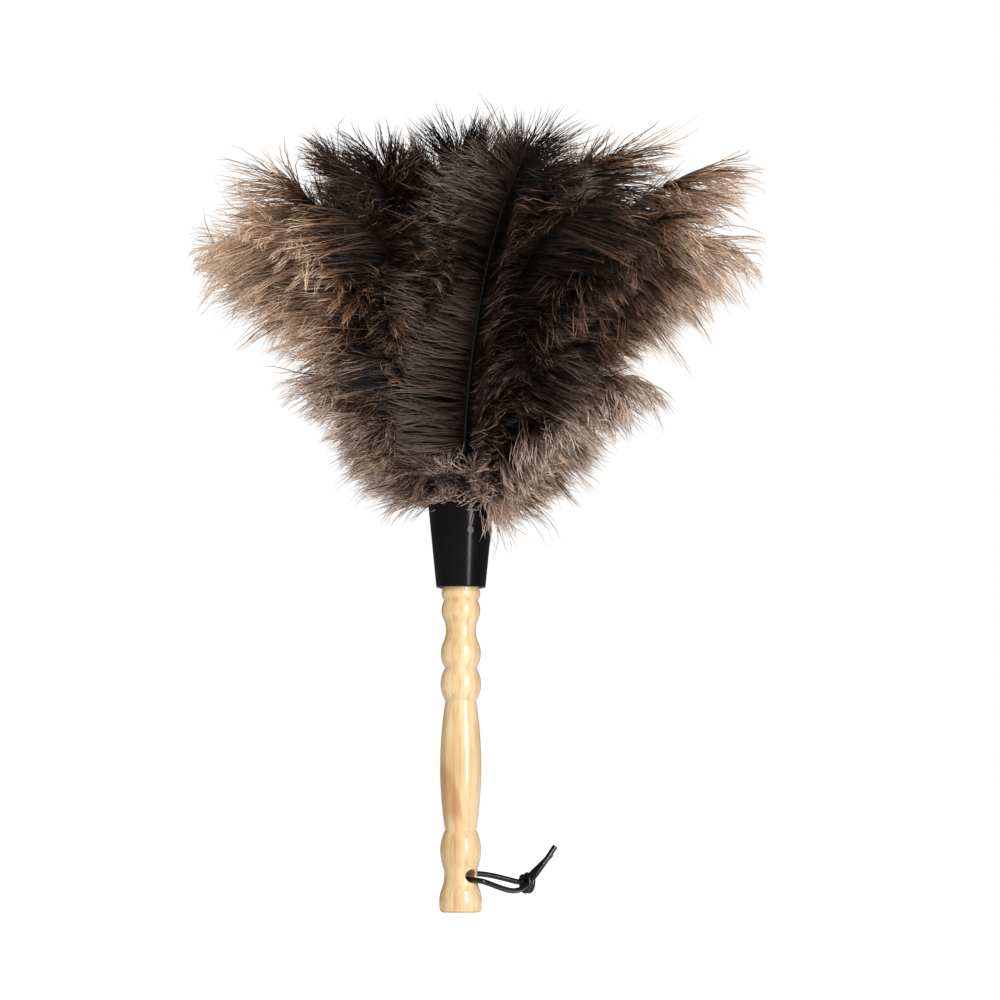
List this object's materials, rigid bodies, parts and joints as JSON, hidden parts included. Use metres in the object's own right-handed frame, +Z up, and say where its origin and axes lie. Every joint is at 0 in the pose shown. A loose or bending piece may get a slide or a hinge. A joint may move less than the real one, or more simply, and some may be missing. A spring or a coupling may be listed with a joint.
{
  "type": "feather duster",
  "caption": "Ostrich feather duster: turned wooden handle, black tapered collar, a round head of bound plumes and a leather hanging thong.",
  "frame": {"origin": "centre of the handle's flat foot face", "axes": "+Z runs up the handle to the feathers; the front view looks along +Y with +X to the right, and the thong's loop lies towards +X and +Y"},
  "size_m": [0.2831, 0.2753, 0.3953],
  "materials": {
    "turned_wood": "gloss",
    "collar_plastic": "gloss",
    "thong_leather": "satin",
    "binding_wire": "satin",
    "plume_dark": "matte",
    "plume_brown": "matte",
    "plume_umber": "matte",
    "plume_rust": "matte",
    "plume_grey": "matte"
  },
  "bodies": {
    "duster": {"handle": "turned_wood", "collar": "collar_plastic", "binding_wire_core": "binding_wire", "binding_wire_inner": "binding_wire", "binding_wire_lower": "binding_wire", "binding_wire_middle": "binding_wire", "binding_wire_outer": "binding_wire", "core_plume_01": "plume_dark", "core_plume_02": "plume_dark", "core_plume_03": "plume_dark", "core_plume_04": "plume_dark", "core_plume_05": "plume_dark", "inner_plume_01": "plume_brown", "inner_plume_02": "plume_brown", "inner_plume_03": "plume_brown", "inner_plume_04": "plume_brown", "inner_plume_05": "plume_brown", "inner_plume_06": "plume_brown", "inner_plume_07": "plume_brown", "inner_plume_08": "plume_brown", "inner_plume_09": "plume_brown", "middle_plume_01": "plume_umber", "middle_plume_02": "plume_umber", "middle_plume_03": "plume_umber", "middle_plume_04": "plume_umber", "middle_plume_05": "plume_umber", "middle_plume_06": "plume_umber", "middle_plume_07": "plume_umber", "middle_plume_08": "plume_umber", "middle_plume_09": "plume_umber", "middle_plume_10": "plume_umber", "middle_plume_11": "plume_umber", "outer_plume_01": "plume_rust", "outer_plume_02": "plume_rust", "outer_plume_03": "plume_rust", "outer_plume_04": "plume_rust", "outer_plume_05": "plume_rust", "outer_plume_06": "plume_rust", "outer_plume_07": "plume_rust", "outer_plume_08": "plume_rust", "outer_plume_09": "plume_rust", "outer_plume_10": "plume_rust", "outer_plume_11": "plume_rust", "outer_plume_12": "plume_rust", "lower_plume_01": "plume_grey", "lower_plume_02": "plume_grey", "lower_plume_03": "plume_grey", "lower_plume_04": "plume_grey", "lower_plume_05": "plume_grey", "lower_plume_06": "plume_grey", "lower_plume_07": "plume_grey", "lower_plume_08": "plume_grey", "lower_plume_09": "plume_grey", "lower_plume_10": "plume_grey", "lower_plume_11": "plume_grey"},
    "thong": {"hanging_thong": "thong_leather", "thong_knot": "thong_leather"}
  },
  "joints": [
    {"name": "thong_swing", "type": "hinge", "parent": "duster", "child": "thong", "pos_m": [0, 0, 0.0163], "axis": [0.7071, -0.7071, 0], "range_deg": [-235, 60]}
  ]
}
